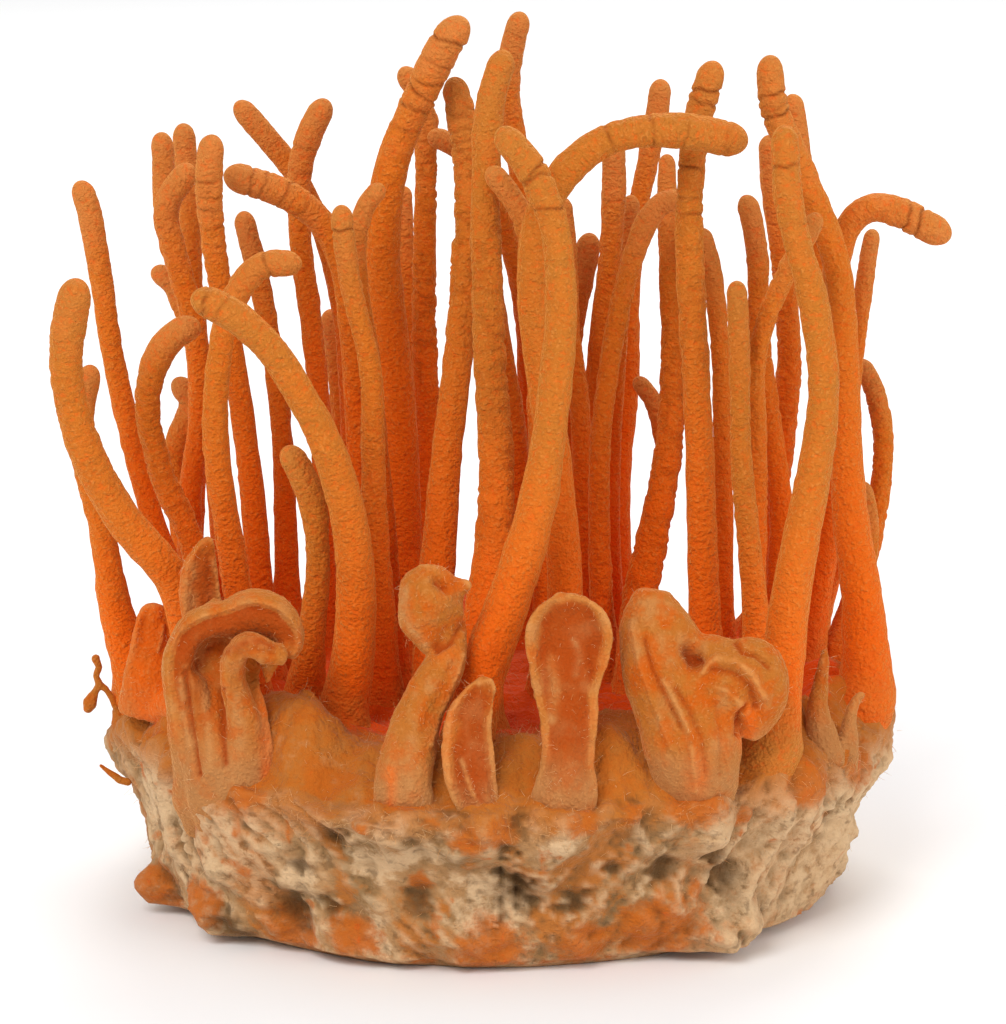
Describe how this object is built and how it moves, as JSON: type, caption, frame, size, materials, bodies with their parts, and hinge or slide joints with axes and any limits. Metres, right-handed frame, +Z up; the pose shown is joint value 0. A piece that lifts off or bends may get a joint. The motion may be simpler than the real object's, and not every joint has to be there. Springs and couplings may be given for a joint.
{
  "type": "cordyceps bunch",
  "caption": "Bunch of cultivated orange cordyceps: curved club-shaped stems and curled lobes grown out of a round cake of matted grain.",
  "frame": {"origin": "middle of the cake's flat underside, on the surface it rests on", "axes": "+Z up along the cake's axis; -Y is the front of the bunch, the side the picture shows; +X is its right as seen from the front"},
  "size_m": [0.0872, 0.0768, 0.0876],
  "materials": {
    "cake": "dull, lumpy grain matted with pale mycelium, stained orange and grey-brown",
    "lobe": "dull orange fungus flesh with pale velvety rims",
    "stem": "dull velvety orange fungus flesh, paler and finely wrinkled towards the tips"
  },
  "bodies": {
    "root": {"grain_cake": "cake", "curled_fold": "lobe", "torn_lobe": "lobe", "dented_knob": "lobe", "hollow_tongue": "lobe", "spoon_lobe": "lobe", "folded_lobe": "lobe", "rim_spikes": "lobe", "stem_01": "stem", "stem_02": "stem", "stem_03": "stem", "stem_04": "stem", "stem_05": "stem", "stem_06": "stem", "stem_07": "stem", "stem_08": "stem", "stem_09": "stem", "stem_10": "stem", "stem_11": "stem", "stem_12": "stem", "stem_13": "stem", "stem_14": "stem", "stem_15": "stem", "stem_16": "stem", "stem_17": "stem", "stem_18": "stem", "stem_19": "stem", "stem_21": "stem", "stem_22": "stem", "stem_23": "stem", "stem_24": "stem", "stem_25": "stem", "stem_26": "stem", "stem_27": "stem", "stem_28": "stem", "stem_30": "stem", "stem_31": "stem", "stem_32": "stem", "stem_33": "stem", "stem_34": "stem", "stem_35": "stem", "stem_37": "stem", "stem_38": "stem", "stem_39": "stem", "stem_40": "stem", "stem_41": "stem", "stem_42": "stem", "stem_43": "stem", "stem_44": "stem", "stem_45": "stem", "stem_46": "stem", "stem_47": "stem", "stem_48": "stem", "stem_49": "stem", "stem_52": "stem", "stem_57": "stem", "stem_59": "stem", "stem_62": "stem", "stem_55": "stem", "stem_56": "stem"}
  },
  "joints": []
}
